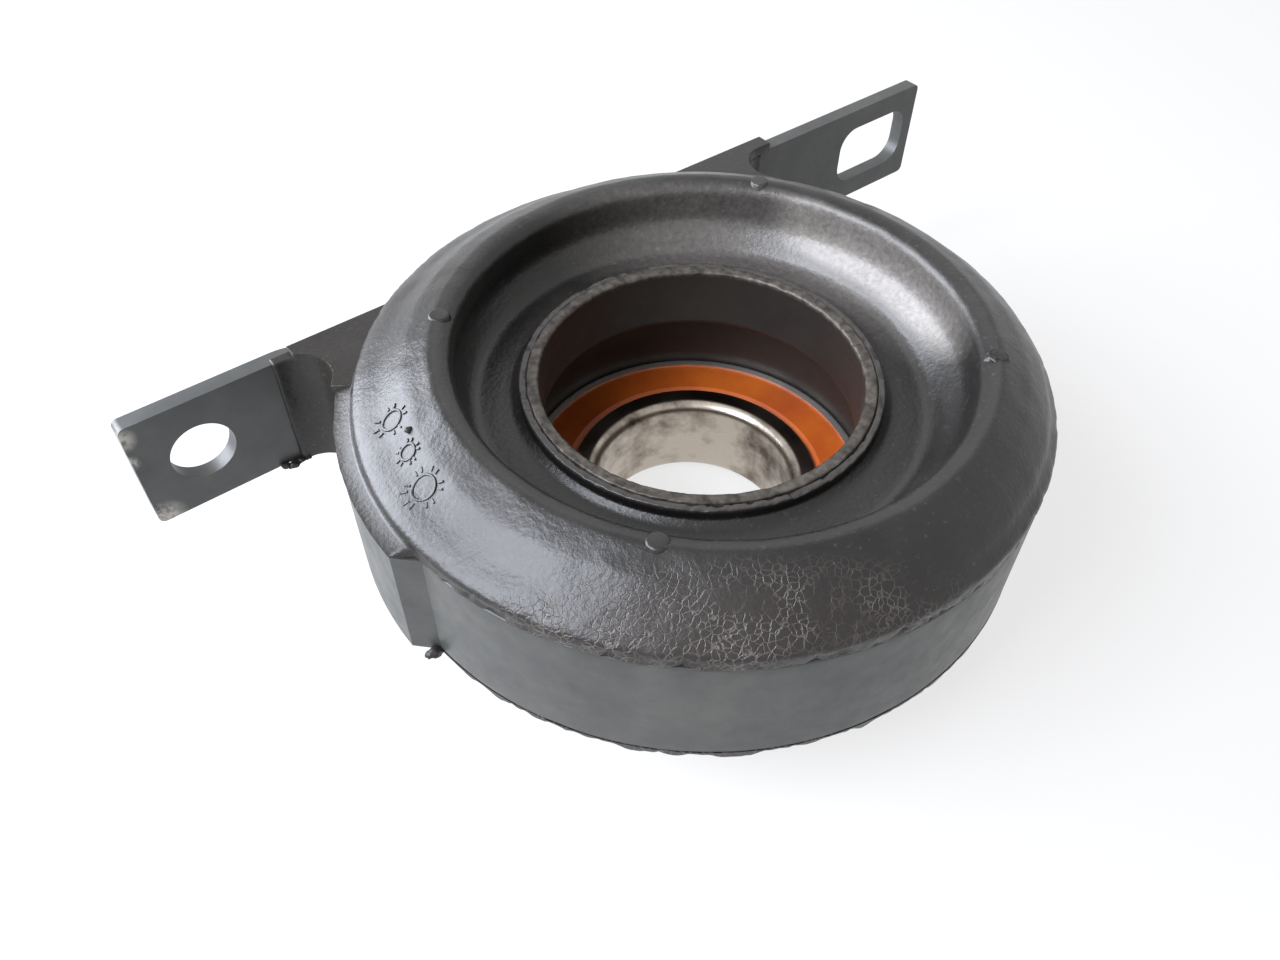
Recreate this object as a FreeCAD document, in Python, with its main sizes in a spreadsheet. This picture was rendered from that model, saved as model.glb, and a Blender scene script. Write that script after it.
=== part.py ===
import FreeCAD, Part

import math
import os
from collections import namedtuple

import Sketcher

os.makedirs("parts", exist_ok=True)

# Propeller shaft centre bearing, in millimetres.
# The origin is the middle of the ball bearing, +Z runs along the shaft towards the open collar,
# +X runs along the two mounting ears, and +Y points at the face the ears are bolted to.

doc = FreeCAD.newDocument("CentreBearing")
sheet = doc.addObject("Spreadsheet::Sheet", "Sizes")

# Driving sizes. Each is one plain number, and nothing else in this file repeats it.
DRIVING = [
    ("band_radius", "56.0", "outer radius of the steel band"),
    ("band_wall", "2.0", "thickness of the steel band"),
    ("band_width", "22.0", "height of the band and of both brackets"),
    ("band_base", "9.8", "lower edge of the band above the middle of the bearing"),
    ("strap_thickness", "3.0", "thickness of the bracket steel"),
    ("bend_radius", "7.0", "inside radius of the bend between leg and ear"),
    ("face_offset", "48.5", "mounting face from the shaft axis"),
    ("ear_corner", "1.2", "rounding of the ears' end corners"),
    ("leg_wrap", "2.0", "angle the leg runs on past the widest point of the band"),
    ("leg_slope", "3.5", "further angle over which the leg's end slopes down to the band"),
    ("hole_offset", "69.5", "round hole from the shaft axis"),
    ("hole_radius", "5.5", "radius of the round hole"),
    ("hole_margin", "10.9", "left ear past the middle of its hole"),
    ("slot_offset", "90.5", "middle of the slot from the shaft axis"),
    ("slot_margin", "13.2", "right ear past the middle of its slot"),
    ("slot_length", "20.5", "slot along the ear"),
    ("slot_height", "13.0", "slot across the ear"),
    ("slot_corner", "4.5", "corner radius of the slot"),
    ("skin", "0.8", "rubber skin over the bracket's bend"),
    ("skin_run", "0.9", "skin on the flat of the ear past the bend"),
    ("skin_lap", "1.7", "angle over which the skin runs on from the bend down the leg"),
    ("web_sole", "0.5", "rubber below the bend"),
    ("left_relief", "1.8", "left web behind the bend, short of the mounting face"),
    ("left_roof", "1.3", "left web above the bend"),
    ("left_roof_short", "2.6", "roof of the left web, short of the bend's end"),
    ("right_relief", "0.2", "right web behind the bend, short of the mounting face"),
    ("right_roof", "1.9", "right web above the bend"),
    ("right_roof_past", "3.2", "roof of the right web, past the bend's end"),
    ("overhang", "0.2", "rubber lip past the band"),
    ("crest_inset", "12.2", "crest of the rubber inside the band's outside"),
    ("crest_rise", "10.0", "crest of the rubber above the band"),
    ("crest_inner_round", "2.6", "rounding of the crest towards the bowl"),
    ("crest_outer_round", "8.0", "rounding of the crest towards the cone"),
    ("cone_slope", "37.6", "slope of the outer cone in degrees"),
    ("lip_round", "3.0", "rounding of the cone's outer edge"),
    ("bowl_depth", "12.3", "foot of the bowl below the crest"),
    ("bowl_slope_rise", "5.0", "height of the sloping foot of the bowl's wall"),
    ("ledge_width", "7.55", "bowl's floor from the collar cover to the foot of the wall"),
    ("ledge_rise", "0.6", "rise of the bowl's floor towards the collar"),
    ("collar_cover", "1.25", "rubber on the outside of the collar"),
    ("cover_drop", "0.3", "bare steel at the collar's lip"),
    ("lining", "4.0", "rubber inside the band"),
    ("lining_taper", "0.5", "draft on the lining"),
    ("lining_inset", "1.0", "lining's lower edge above the band's lower edge"),
    ("hollow_round", "2.4", "half width of the hollow under the crest"),
    ("crest_web", "7.4", "rubber between the crest and the hollow under it"),
    ("hollow_straight", "1.5", "upright part of the hollow's inner side"),
    ("elbow_run", "4.7", "turn of the underside inside the hollow"),
    ("floor_web", "6.0", "rubber between the bowl's foot and the underside"),
    ("floor_fall", "1.5", "fall of the underside towards the hub"),
    ("hub_cover", "3.0", "rubber on the outside of the hub"),
    ("hub_bond_start", "2.0", "lower edge of the rubber above the middle of the bearing"),
    ("bond_bevel", "1.2", "bevel of the rubber's lower edge on the hub"),
    ("pip_radius", "1.8", "radius of the round pips on the crest"),
    ("pip_height", "0.8", "height of the pips above the crest"),
    ("pip_angle", "41.5", "pips from the X axis"),
    ("sleeve_wall", "2.0", "thickness of the hub sleeve"),
    ("collar_step", "4.4", "collar's inside smaller than the bearing seat"),
    ("collar_rise", "3.1", "collar's lip above the foot of the collar cover"),
    ("seat_room", "9.7", "straight wall of the seat above the bearing"),
    ("shoulder_rise", "3.4", "height of the cone between the bearing seat and the collar"),
    ("sleeve_stand", "1.2", "sleeve's lower edge below the bearing"),
    ("bearing_radius", "31.0", "outside radius of the ball bearing"),
    ("ring_section", "13.5", "radial section of the ball bearing, from its bore to its outside"),
    ("bearing_width", "17.0", "width of the ball bearing"),
    ("outer_corner", "0.6", "corner rounding of the outer ring"),
    ("bore_corner", "2.0", "corner rounding of the inner ring's bore"),
    ("ball_count", "11", "number of balls"),
    ("race_wall", "2.62", "thickness of both rings behind their raceways"),
    ("race_clearance", "0.16", "between a ball and its raceways"),
    ("inner_race_depth", "1.78", "depth of the inner ring's raceway"),
    ("outer_race_depth", "1.58", "depth of the outer ring's raceway"),
    ("seal_rim", "1.6", "outer ring outside the seal"),
    ("seal_bead", "0.5", "depth of the groove that the seal snaps into"),
    ("seal_thickness", "1.1", "thickness of a seal"),
    ("seal_recess", "0.35", "seal below the bearing's face"),
    ("seal_clearance", "0.25", "between the seal's lip and the inner ring"),
    ("seal_lip", "0.5", "thickness of the seal's lip"),
    ("lip_width", "1.2", "width of the seal's lip"),
    ("cage_width", "3.4", "width of the cage's ribbon"),
    ("cage_sheet", "0.7", "thickness of the cage's sheet"),
    ("pocket_clearance", "0.12", "between a ball and its pocket"),
    ("rivet_radius", "0.6", "radius of a cage rivet's shank"),
    ("rivet_head", "1.05", "radius of a cage rivet's head"),
    ("rivet_head_height", "0.45", "height of a cage rivet's head"),
    ("rivet_clearance", "0.05", "between a rivet and its hole"),
]

# Sizes that follow from the driving ones.
DERIVED = [
    ("left_reach", "hole_offset + hole_margin"),
    ("right_reach", "slot_offset + slot_margin"),
    ("band_inner", "band_radius - band_wall"),
    ("band_top", "band_base + band_width"),
    ("band_middle", "band_base + band_width / 2"),
    ("leg_outer", "band_radius + strap_thickness"),
    ("front_face", "face_offset - strap_thickness"),
    ("bend_centre_y", "front_face - bend_radius"),
    ("bend_reach", "leg_outer + bend_radius"),
    ("bend_centre_x", "sqrt(bend_reach ^ 2 - bend_centre_y ^ 2)"),
    ("bend_outside", "bend_radius + strap_thickness"),
    ("front_touch_x", "bend_centre_x * leg_outer / bend_reach"),
    ("front_touch_y", "bend_centre_y * leg_outer / bend_reach"),
    ("back_touch_x", "bend_centre_x * band_radius / bend_reach"),
    ("back_touch_y", "bend_centre_y * band_radius / bend_reach"),
    ("leg_tip_x", "leg_outer * cos(leg_wrap)"),
    ("leg_tip_y", "leg_outer * sin(leg_wrap)"),
    ("leg_toe_x", "band_radius * cos(leg_wrap + leg_slope)"),
    ("leg_toe_y", "band_radius * sin(leg_wrap + leg_slope)"),
    ("leg_root_x", "band_radius * cos(leg_wrap)"),
    ("leg_root_y", "band_radius * sin(leg_wrap)"),
    ("slot_near", "slot_offset - slot_length / 2"),
    ("slot_far", "slot_offset + slot_length / 2"),
    ("slot_low", "band_middle - slot_height / 2"),
    ("slot_high", "band_middle + slot_height / 2"),
    ("slot_near_in", "slot_near + slot_corner"),
    ("slot_far_in", "slot_far - slot_corner"),
    ("slot_low_in", "slot_low + slot_corner"),
    ("slot_high_in", "slot_high - slot_corner"),
    ("bend_angle", "asin(bend_centre_y / bend_reach) / 1 deg"),
    ("skin_wrap", "bend_angle - skin_lap"),
    ("skin_start", "bend_centre_x + skin_run"),
    ("skin_front", "front_face - skin"),
    ("skin_bend", "bend_radius - skin"),
    ("skin_leg", "leg_outer + skin"),
    ("skin_touch_x", "bend_centre_x * skin_leg / bend_reach"),
    ("skin_touch_y", "bend_centre_y * skin_leg / bend_reach"),
    ("skin_edge_x", "skin_leg * cos(skin_wrap)"),
    ("skin_edge_y", "skin_leg * sin(skin_wrap)"),
    ("skin_foot_x", "leg_outer * cos(skin_wrap)"),
    ("skin_foot_y", "leg_outer * sin(skin_wrap)"),
    ("left_web_back", "face_offset - left_relief"),
    ("left_web_meet", "sqrt(band_radius ^ 2 - left_web_back ^ 2)"),
    ("right_web_back", "face_offset - right_relief"),
    ("right_web_meet", "sqrt(band_radius ^ 2 - right_web_back ^ 2)"),
    ("web_base", "band_base - web_sole"),
    ("web_height", "band_width + web_sole"),
    ("left_roof_end", "bend_centre_x - left_roof_short"),
    ("left_roof_front", "bend_centre_y + sqrt(skin_bend ^ 2 - left_roof_short ^ 2)"),
    ("right_roof_end", "bend_centre_x + right_roof_past"),
    ("lip_radius", "band_radius + overhang"),
    ("crest_radius", "band_radius - crest_inset"),
    ("crest_height", "band_top + crest_rise"),
    ("bowl_wall", "crest_radius - crest_inner_round"),
    ("bowl_wall_top", "crest_height - crest_inner_round"),
    ("cone_start_x", "crest_radius + crest_outer_round * sin(cone_slope)"),
    ("cone_start_y", "crest_height - crest_outer_round * (1 - cos(cone_slope))"),
    ("cone_end_x", "lip_radius - lip_round * (1 - sin(cone_slope))"),
    ("cone_end_y", "cone_start_y - (cone_end_x - cone_start_x) * tan(cone_slope)"),
    ("lip_start", "cone_end_y - lip_round * cos(cone_slope)"),
    ("collar_bore", "bearing_radius - collar_step"),
    ("collar_outer", "collar_bore + sleeve_wall"),
    ("cover_outer", "collar_outer + collar_cover"),
    ("groove_radius", "cover_outer + ledge_width"),
    ("groove_height", "crest_height - bowl_depth"),
    ("bowl_seam", "groove_height + bowl_slope_rise"),
    ("ledge_height", "groove_height + ledge_rise"),
    ("collar_lip", "ledge_height + collar_rise"),
    ("cover_top", "collar_lip - cover_drop"),
    ("lining_start", "band_base + lining_inset"),
    ("hollow_outer", "band_inner - lining"),
    ("lining_foot_x", "hollow_outer + lining_taper"),
    ("hollow_inner", "hollow_outer - 2 * hollow_round"),
    ("hollow_middle", "hollow_outer - hollow_round"),
    ("hollow_top", "crest_height - crest_web"),
    ("hollow_spring", "hollow_top - hollow_round"),
    ("hollow_shoulder", "hollow_spring - hollow_straight"),
    ("elbow_radius", "hollow_inner - elbow_run"),
    ("elbow_height", "groove_height - floor_web"),
    ("floor_height", "elbow_height - floor_fall"),
    ("hub_cover_outer", "bearing_radius + sleeve_wall + hub_cover"),
    ("bond_toe", "hub_bond_start - bond_bevel"),
    ("seat_outer", "bearing_radius + sleeve_wall"),
    ("half_width", "bearing_width / 2"),
    ("shaft_radius", "bearing_radius - ring_section"),
    ("sleeve_foot", "half_width + sleeve_stand"),
    ("shoulder_foot", "half_width + seat_room"),
    ("collar_foot", "shoulder_foot + shoulder_rise"),
    ("shoulder_shift", "sleeve_wall * tan(0.5 * atan(collar_step / shoulder_rise))"),
    ("shoulder_foot_out", "shoulder_foot + shoulder_shift"),
    ("collar_foot_out", "collar_foot + shoulder_shift"),
    ("ring_round_height", "half_width - outer_corner"),
    ("ring_round_radius", "bearing_radius - outer_corner"),
    ("bore_round_height", "half_width - bore_corner"),
    ("bore_round_radius", "shaft_radius + bore_corner"),
    ("pitch_radius", "(bearing_radius + shaft_radius) / 2"),
    ("race_radius", "ring_section / 2 - race_wall"),
    ("ball_radius", "race_radius - race_clearance"),
    ("inner_land", "shaft_radius + race_wall + inner_race_depth"),
    ("outer_land", "bearing_radius - race_wall - outer_race_depth"),
    ("seal_seat", "bearing_radius - seal_rim"),
    ("inner_race_edge", "sqrt(race_radius ^ 2 - (pitch_radius - inner_land) ^ 2)"),
    ("outer_race_edge", "sqrt(race_radius ^ 2 - (outer_land - pitch_radius) ^ 2)"),
    ("seal_top", "half_width - seal_recess"),
    ("seal_bottom", "seal_top - seal_thickness"),
    ("seal_groove_radius", "seal_seat + seal_bead"),
    ("seal_middle", "seal_top - seal_thickness / 2"),
    ("seal_lip_radius", "inner_land + seal_clearance"),
    ("seal_web_radius", "seal_lip_radius + lip_width"),
    ("seal_lip_top", "seal_bottom + seal_lip"),
    ("cage_inner", "pitch_radius - cage_width / 2"),
    ("cage_outer", "pitch_radius + cage_width / 2"),
    ("pocket_radius", "ball_radius + pocket_clearance"),
    ("dome_radius", "pocket_radius + cage_sheet"),
    ("rivet_hole_radius", "rivet_radius + rivet_clearance"),
    ("rivet_length", "2 * cage_sheet"),
    ("pip_x", "crest_radius * cos(pip_angle)"),
    ("pip_y", "crest_radius * sin(pip_angle)"),
]

row = 1
for alias, value, note in DRIVING:
    sheet.set("A%d" % row, note)
    sheet.set("B%d" % row, value)
    sheet.setAlias("B%d" % row, alias)
    row += 1
for alias, formula in DERIVED:
    sheet.set("A%d" % row, alias.replace("_", " "))
    sheet.set("B%d" % row, "=" + formula)
    sheet.setAlias("B%d" % row, alias)
    row += 1
doc.recompute()

Corner = namedtuple("Corner", "x y arc turn", defaults=(None, 1))


def size(name):
    """Return the value of a named size; a leading minus turns its sign."""
    if name.startswith("-"):
        return -float(sheet.get(name[1:]))
    return float(sheet.get(name))


def cell(name):
    """Return the expression that reads a named size from the sheet."""
    if name.startswith("-"):
        return "-Sizes." + name[1:]
    return "Sizes." + name


def bind(thing, path, expression):
    """Bind one property of an object to an expression on the sheet."""
    thing.setExpression(path, expression)


def new_body(label):
    """Make an empty body with its own label."""
    body = doc.addObject("PartDesign::Body", label)
    body.Label = label
    return body


def new_sketch(body, name, role, lift=None):
    """Attach a sketch to one of the body's own origin planes, lifted by a named size if one is given."""
    plane = [f for f in body.Origin.OriginFeatures if f.Role == role][0]
    sketch = body.newObject("Sketcher::SketchObject", name)
    sketch.AttachmentSupport = [(plane, "")]
    sketch.MapMode = "FlatFace"
    if lift:
        bind(sketch, "AttachmentOffset.Base.z", cell(lift))
    return sketch


def arc_through(start, end, radius, turn):
    """Return the arc of a radius from start to end; turn 1 keeps its centre on the left, -1 on the right."""
    chord = end - start
    half = chord.Length / 2
    rise = math.sqrt(radius * radius - half * half)
    left = FreeCAD.Vector(-chord.y, chord.x, 0) / chord.Length
    centre = (start + end) / 2 + left * (rise * turn)
    first, last = (start, end) if turn > 0 else (end, start)
    from_angle = math.atan2(first.y - centre.y, first.x - centre.x)
    to_angle = math.atan2(last.y - centre.y, last.x - centre.x)
    circle = Part.Circle(centre, FreeCAD.Vector(0, 0, 1), radius)
    return Part.ArcOfCircle(circle, from_angle, to_angle)


def draw_outline(sketch, corners):
    """Draw a closed outline whose corners and arc radii are all bound to the sheet.

    A corner's arc names the radius of the edge that leaves it; with no arc the edge is straight.
    """
    count = len(corners)
    places = [FreeCAD.Vector(size(c.x), size(c.y), 0) for c in corners]
    ends = []
    for index, corner in enumerate(corners):
        start = places[index]
        end = places[(index + 1) % count]
        if corner.arc is None:
            geometry = sketch.addGeometry(Part.LineSegment(start, end), False)
            ends.append((geometry, 1, 2))
        else:
            arc = arc_through(start, end, size(corner.arc), corner.turn)
            geometry = sketch.addGeometry(arc, False)
            ends.append((geometry, 1, 2) if corner.turn > 0 else (geometry, 2, 1))
    for index, corner in enumerate(corners):
        geometry, first, last = ends[index]
        following, next_first, _ = ends[(index + 1) % count]
        sketch.addConstraint(Sketcher.Constraint("Coincident", geometry, last, following, next_first))
        for kind, name, value in (("DistanceX", corner.x, places[index].x),
                                  ("DistanceY", corner.y, places[index].y)):
            number = sketch.addConstraint(Sketcher.Constraint(kind, -1, 1, geometry, first, value))
            sketch.renameConstraint(number, "%s_%d" % (kind.lower(), index))
            bind(sketch, "Constraints.%s_%d" % (kind.lower(), index), cell(name))
        if corner.arc is not None:
            number = sketch.addConstraint(Sketcher.Constraint("Radius", geometry, size(corner.arc)))
            sketch.renameConstraint(number, "radius_%d" % index)
            bind(sketch, "Constraints.radius_%d" % index, cell(corner.arc))


def turned(label, corners):
    """Make a body by turning an outline of radius and height about the shaft axis."""
    body = new_body(label)
    sketch = new_sketch(body, label + "_outline", "XZ_Plane")
    draw_outline(sketch, corners)
    turn = body.newObject("PartDesign::Revolution", label + "_turn")
    turn.Profile = sketch
    turn.ReferenceAxis = (sketch, ["V_Axis"])
    turn.Angle = 360
    body.Tip = turn
    return body


def raised(body, name, corners, lift, height):
    """Pad an outline drawn in plan, from one height over another."""
    sketch = new_sketch(body, name + "_outline", "XY_Plane", lift)
    draw_outline(sketch, corners)
    pad = body.newObject("PartDesign::Pad", name)
    pad.Profile = sketch
    bind(pad, "Length", cell(height))
    body.Tip = pad
    return pad


def rounded(body, name, radius, chosen):
    """Round the edges of the body's last feature that the test picks out."""
    base = body.Tip
    doc.recompute()
    names = ["Edge%d" % (n + 1) for n, edge in enumerate(base.Shape.Edges) if chosen(edge)]
    fillet = body.newObject("PartDesign::Fillet", name)
    fillet.Base = (base, names)
    bind(fillet, "Radius", cell(radius))
    body.Tip = fillet
    return fillet


def pierced(body, name, draw):
    """Cut an opening through an ear from its mounting face; draw makes the outline in the sketch."""
    sketch = new_sketch(body, name + "_outline", "XZ_Plane", "-face_offset")
    draw(sketch)
    pocket = body.newObject("PartDesign::Pocket", name)
    pocket.Profile = sketch
    bind(pocket, "Length", cell("strap_thickness"))
    pocket.Reversed = True
    body.Tip = pocket
    return pocket


def opposite(name):
    """Return the name of the same size with its sign turned."""
    return name[1:] if name.startswith("-") else "-" + name


def mirrored_in_x(corners):
    """Return an outline mirrored to the other side of the shaft axis."""
    return [Corner(opposite(c.x), c.y, c.arc, -c.turn) for c in corners]


def mirrored_in_z(corners):
    """Return a section mirrored to the other side of the bearing's middle."""
    return [c._replace(y=opposite(c.y)) for c in reversed(corners)]


# Steel band round the rubber
band_ring = turned("band_ring", [
    Corner("band_inner", "band_base"),
    Corner("band_radius", "band_base"),
    Corner("band_radius", "band_top"),
    Corner("band_inner", "band_top"),
])

# Brackets: one strip of steel each, bent from a leg that wraps the band to an ear that is bolted down
def bracket_plan(reach):
    """Return the strip's outline in plan, with its ear out to the named reach."""
    return [
        Corner(reach, "front_face"),
        Corner(reach, "face_offset"),
        Corner("bend_centre_x", "face_offset", "bend_outside", 1),
        Corner("back_touch_x", "back_touch_y", "band_radius", -1),
        Corner("leg_toe_x", "-leg_toe_y"),
        Corner("leg_tip_x", "-leg_tip_y", "leg_outer", 1),
        Corner("front_touch_x", "front_touch_y", "bend_radius", -1),
        Corner("bend_centre_x", "front_face"),
    ]


def bracket(label, corners, reach, opening):
    """Make a bracket with rounded corners on the end of its ear, and its bolt opening."""
    body = new_body(label)
    raised(body, label + "_strip", corners, "band_base", "band_width")

    def at_ear_end(edge):
        along = edge.Vertexes[-1].Point - edge.Vertexes[0].Point
        return abs(abs(edge.CenterOfMass.x) - size(reach)) < 1e-6 and abs(abs(along.y) - edge.Length) < 1e-6

    rounded(body, label + "_corners", "ear_corner", at_ear_end)
    pierced(body, label + "_opening", opening)
    return body


def round_hole(sketch):
    """Draw the left ear's round hole."""
    centre = FreeCAD.Vector(size("-hole_offset"), size("band_middle"), 0)
    circle = Part.Circle(centre, FreeCAD.Vector(0, 0, 1), size("hole_radius"))
    geometry = sketch.addGeometry(circle, False)
    for kind, name, value in (("DistanceX", "-hole_offset", centre.x),
                              ("DistanceY", "band_middle", centre.y)):
        number = sketch.addConstraint(Sketcher.Constraint(kind, -1, 1, geometry, 3, value))
        sketch.renameConstraint(number, kind.lower())
        bind(sketch, "Constraints." + kind.lower(), cell(name))
    number = sketch.addConstraint(Sketcher.Constraint("Radius", geometry, size("hole_radius")))
    sketch.renameConstraint(number, "radius")
    bind(sketch, "Constraints.radius", cell("hole_radius"))


def long_slot(sketch):
    """Draw the right ear's slot, a rectangle with rounded corners."""
    draw_outline(sketch, [
        Corner("slot_near_in", "slot_low"),
        Corner("slot_far_in", "slot_low", "slot_corner", 1),
        Corner("slot_far", "slot_low_in"),
        Corner("slot_far", "slot_high_in", "slot_corner", 1),
        Corner("slot_far_in", "slot_high"),
        Corner("slot_near_in", "slot_high", "slot_corner", 1),
        Corner("slot_near", "slot_high_in"),
        Corner("slot_near", "slot_low_in", "slot_corner", 1),
    ])


right_bracket = bracket("right_bracket", bracket_plan("right_reach"), "right_reach", long_slot)
left_bracket = bracket("left_bracket", mirrored_in_x(bracket_plan("left_reach")), "left_reach", round_hole)

# Rubber: one moulding with a crest and bowl over the band, a hollow under the crest,
# a bonded seat round the hub, and a web that fills the corner behind each bracket
cushion_ring = turned("cushion_ring", [
    Corner("collar_outer", "cover_top"),
    Corner("collar_outer", "collar_foot_out"),
    Corner("seat_outer", "shoulder_foot_out"),
    Corner("seat_outer", "bond_toe"),
    Corner("hub_cover_outer", "hub_bond_start"),
    Corner("hub_cover_outer", "floor_height"),
    Corner("elbow_radius", "elbow_height"),
    Corner("hollow_inner", "hollow_shoulder"),
    Corner("hollow_inner", "hollow_spring", "hollow_round", -1),
    Corner("hollow_middle", "hollow_top", "hollow_round", -1),
    Corner("hollow_outer", "hollow_spring"),
    Corner("lining_foot_x", "lining_start"),
    Corner("band_inner", "lining_start"),
    Corner("band_inner", "band_top"),
    Corner("lip_radius", "band_top"),
    Corner("lip_radius", "lip_start", "lip_round", 1),
    Corner("cone_end_x", "cone_end_y"),
    Corner("cone_start_x", "cone_start_y", "crest_outer_round", 1),
    Corner("crest_radius", "crest_height", "crest_inner_round", 1),
    Corner("bowl_wall", "bowl_wall_top"),
    Corner("bowl_wall", "bowl_seam"),
    Corner("groove_radius", "groove_height"),
    Corner("cover_outer", "ledge_height"),
    Corner("cover_outer", "cover_top"),
])

def web_plan(side, front):
    """Return a web's plan on one side, from the corners of its front to the leg it skins."""
    return front + [
        Corner(side + "_web_meet", side + "_web_back", "band_radius", -1),
        Corner("leg_root_x", "-leg_root_y"),
        Corner("leg_tip_x", "-leg_tip_y", "leg_outer", 1),
        Corner("skin_foot_x", "skin_foot_y"),
        Corner("skin_edge_x", "skin_edge_y", "skin_leg", 1),
        Corner("skin_touch_x", "skin_touch_y", "skin_bend", -1),
    ]


def fill_front(side):
    """Return the front corners of the rubber behind and before the bend."""
    return [Corner("bend_centre_x", "skin_front"), Corner("skin_start", "skin_front"),
            Corner("skin_start", side + "_web_back")]


right_fill = web_plan("right", fill_front("right"))
right_roof = web_plan("right", [Corner("bend_centre_x", "skin_front"), Corner("right_roof_end", "skin_front"),
                                Corner("right_roof_end", "right_web_back")])
left_fill = web_plan("left", fill_front("left"))
left_roof = web_plan("left", [Corner("left_roof_end", "left_roof_front"),
                              Corner("left_roof_end", "left_web_back")])


def corner_web(label, fill, roof, roof_height, steel):
    """Make the rubber that fills a bracket's corner, skins its bend and roofs it over, less the bracket."""
    body = new_body(label + "_block")
    raised(body, label + "_fill", fill, "web_base", "web_height")
    raised(body, label + "_over", roof, "band_top", roof_height)
    cut = doc.addObject("Part::Cut", label)
    cut.Base = body
    cut.Tool = steel
    return cut


def crest_pip(label, x_name, y_name):
    """Make one of the round pips that stand on the crest."""
    pip = doc.addObject("Part::Cylinder", label)
    bind(pip, "Radius", cell("pip_radius"))
    bind(pip, "Height", "Sizes.pip_height + Sizes.crest_inner_round / 2")
    bind(pip, "Placement.Base.x", cell(x_name))
    bind(pip, "Placement.Base.y", cell(y_name))
    bind(pip, "Placement.Base.z", "Sizes.crest_height - Sizes.crest_inner_round / 2")
    return pip


cushion_pieces = [
    cushion_ring,
    corner_web("right_web", right_fill, right_roof, "right_roof", right_bracket),
    corner_web("left_web", mirrored_in_x(left_fill), mirrored_in_x(left_roof), "left_roof", left_bracket),
]
for number, (x_name, y_name) in enumerate([("pip_x", "pip_y"), ("-pip_x", "pip_y"),
                                           ("-pip_x", "-pip_y"), ("pip_x", "-pip_y")]):
    cushion_pieces.append(crest_pip("crest_pip_%d" % (number + 1), x_name, y_name))
rubber_cushion = doc.addObject("Part::MultiFuse", "rubber_cushion")
rubber_cushion.Shapes = cushion_pieces

# Hub sleeve: a pressed steel seat for the bearing, necked in above it to an open collar
hub_sleeve = turned("hub_sleeve", [
    Corner("bearing_radius", "-sleeve_foot"),
    Corner("seat_outer", "-sleeve_foot"),
    Corner("seat_outer", "shoulder_foot_out"),
    Corner("collar_outer", "collar_foot_out"),
    Corner("collar_outer", "collar_lip"),
    Corner("collar_bore", "collar_lip"),
    Corner("collar_bore", "collar_foot"),
    Corner("bearing_radius", "shoulder_foot"),
])

# Ball bearing: two grooved rings, balls in a riveted ribbon cage, and a seal on each side
bearing_outer_ring = turned("bearing_outer_ring", [
    Corner("bearing_radius", "-ring_round_height"),
    Corner("bearing_radius", "ring_round_height", "outer_corner", 1),
    Corner("ring_round_radius", "half_width"),
    Corner("seal_seat", "half_width"),
    Corner("seal_seat", "seal_top"),
    Corner("seal_groove_radius", "seal_middle"),
    Corner("seal_seat", "seal_bottom"),
    Corner("outer_land", "seal_bottom"),
    Corner("outer_land", "outer_race_edge", "race_radius", -1),
    Corner("outer_land", "-outer_race_edge"),
    Corner("outer_land", "-seal_bottom"),
    Corner("seal_seat", "-seal_bottom"),
    Corner("seal_groove_radius", "-seal_middle"),
    Corner("seal_seat", "-seal_top"),
    Corner("seal_seat", "-half_width"),
    Corner("ring_round_radius", "-half_width", "outer_corner", 1),
])

bearing_inner_ring = turned("bearing_inner_ring", [
    Corner("bore_round_radius", "-half_width"),
    Corner("inner_land", "-half_width"),
    Corner("inner_land", "-inner_race_edge", "race_radius", -1),
    Corner("inner_land", "inner_race_edge"),
    Corner("inner_land", "half_width"),
    Corner("bore_round_radius", "half_width", "bore_corner", 1),
    Corner("shaft_radius", "bore_round_height"),
    Corner("shaft_radius", "-bore_round_height", "bore_corner", 1),
])

seal_section = [
    Corner("seal_lip_radius", "seal_bottom"),
    Corner("seal_seat", "seal_bottom"),
    Corner("seal_groove_radius", "seal_middle"),
    Corner("seal_seat", "seal_top"),
    Corner("seal_web_radius", "seal_top"),
    Corner("seal_lip_radius", "seal_lip_top"),
]
upper_seal = turned("upper_seal", seal_section)
lower_seal = turned("lower_seal", mirrored_in_z(seal_section))

ball_count = int(size("ball_count"))


def around(thing, number, offset, radius_name):
    """Place a piece on a circle round the shaft axis, at its own share of the full turn."""
    angle = "(360 * (%d + %s) / Sizes.ball_count)" % (number, offset)
    bind(thing, "Placement.Base.x", "%s * cos(%s)" % (cell(radius_name), angle))
    bind(thing, "Placement.Base.y", "%s * sin(%s)" % (cell(radius_name), angle))


def ball_like(label, number, radius_name):
    """Make a sphere at a ball's place."""
    sphere = doc.addObject("Part::Sphere", label)
    bind(sphere, "Radius", cell(radius_name))
    around(sphere, number, "0", "pitch_radius")
    return sphere


def disc(label, radius_name, height_name, base=None):
    """Make a plain disc on the shaft axis."""
    cylinder = doc.addObject("Part::Cylinder", label)
    bind(cylinder, "Radius", cell(radius_name))
    bind(cylinder, "Height", cell(height_name))
    if base:
        bind(cylinder, "Placement.Base.z", base)
    return cylinder


def washer(label, height_name):
    """Make a flat ring as wide as the cage."""
    ring = doc.addObject("Part::Cut", label)
    ring.Base = disc(label + "_disc", "cage_outer", height_name)
    ring.Tool = disc(label + "_bore", "cage_inner", height_name)
    return ring


def joined(label, kind, pieces):
    """Make a boolean of several pieces."""
    result = doc.addObject(kind, label)
    result.Shapes = pieces
    return result


balls = [ball_like("ball_%02d" % (n + 1), n, "ball_radius") for n in range(ball_count)]

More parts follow.
